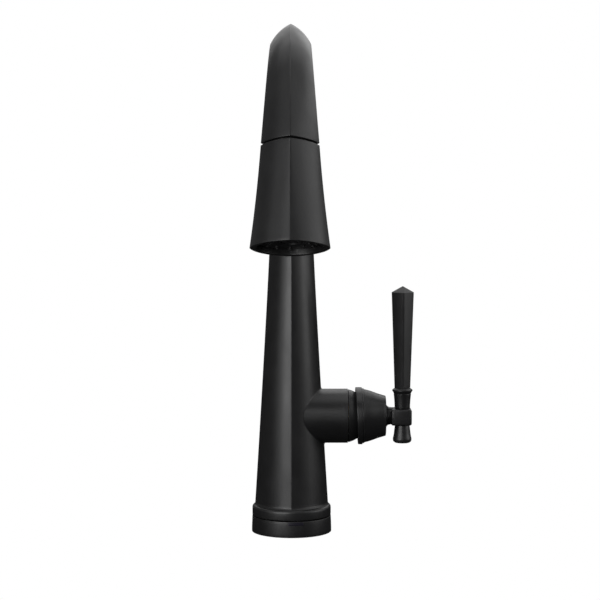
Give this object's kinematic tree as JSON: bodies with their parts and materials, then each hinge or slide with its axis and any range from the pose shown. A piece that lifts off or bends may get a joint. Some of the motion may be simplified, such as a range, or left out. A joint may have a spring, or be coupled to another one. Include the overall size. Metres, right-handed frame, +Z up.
{
  "type": "pull-down kitchen faucet",
  "caption": "Matte black single-handle kitchen faucet with a ridged gooseneck spout that swivels and a pull-down spray head.",
  "frame": {"origin": "centre of the base where it meets the counter top", "axes": "+Z up, spout towards -Y, handle on +X"},
  "size_m": [0.1303, 0.2703, 0.448],
  "materials": {
    "matte_black": "matte",
    "black_plastic": "matte",
    "white_plastic": "matte",
    "rubber": "matte",
    "brass": "satin",
    "steel": "satin",
    "copper": "satin",
    "lens": "gloss",
    "hose": "matte"
  },
  "bodies": {
    "base": {"base_ring": "matte_black", "base_gasket": "rubber", "indicator_lens": "lens", "mounting_shank": "brass", "clamp_gasket": "rubber", "clamp_washer": "steel", "mounting_nut": "brass", "swivel_bearing": "white_plastic", "swivel_washer": "white_plastic", "swivel_snap_ring": "steel"},
    "spout": {"spout_body": "matte_black", "valve_body": "brass", "mixing_cartridge": "white_plastic", "cartridge_nut": "brass", "dome_cap": "matte_black", "supply_tube_hot": "copper", "supply_tube_cold": "copper", "outlet_tube": "copper", "spray_hose": "hose", "dock_collar": "black_plastic", "dock_magnet": "steel"},
    "temperature": {"cartridge_rotor": "brass", "stem_pin": "steel"},
    "handle": {"handle_stem": "brass", "handle_skirt": "matte_black", "handle_set_screw": "steel", "handle_tee": "matte_black", "lever": "matte_black", "lever_ferrule": "matte_black", "lever_finial": "matte_black"},
    "hose_end": {"hose_coupling": "brass", "check_valve": "white_plastic"},
    "spray_head": {"head_shell": "matte_black", "head_dock_ring": "steel", "waterway": "black_plastic", "diverter_spool": "white_plastic", "spray_manifold": "black_plastic", "nozzle_mat": "rubber", "spray_face": "black_plastic", "aerator": "black_plastic"},
    "mode_button": {"mode_button": "black_plastic"}
  },
  "joints": [
    {"name": "spout_swivel", "type": "hinge", "parent": "base", "child": "spout", "pos_m": [0, 0, 0.0136], "axis": [0, 0, 1], "range_deg": [-60, 60]},
    {"name": "temperature_turn", "type": "hinge", "parent": "spout", "child": "temperature", "pos_m": [0.0409, 0, 0.0934], "axis": [1, 0, 0], "range_deg": [-45, 45]},
    {"name": "handle_lift", "type": "hinge", "parent": "temperature", "child": "handle", "pos_m": [0.0409, 0, 0.0934], "axis": [0, 1, 0], "range_deg": [0, 22]},
    {"name": "head_pull", "type": "slide", "parent": "spout", "child": "hose_end", "axis": [0, -0.2419, -0.9703], "range_m": [0, 0.15], "stiffness_N_per_m": 16, "springref_m": -0.6},
    {"name": "head_turn", "type": "hinge", "parent": "hose_end", "child": "spray_head", "pos_m": [0, -0.19348, 0.30846], "axis": [0, -0.2419, -0.9703], "continuous": true},
    {"name": "mode_press", "type": "slide", "parent": "spray_head", "child": "mode_button", "axis": [0, -0.9703, 0.2419], "range_m": [0, 0.0015], "stiffness_N_per_m": 600, "springref_m": -0.002}
  ]
}
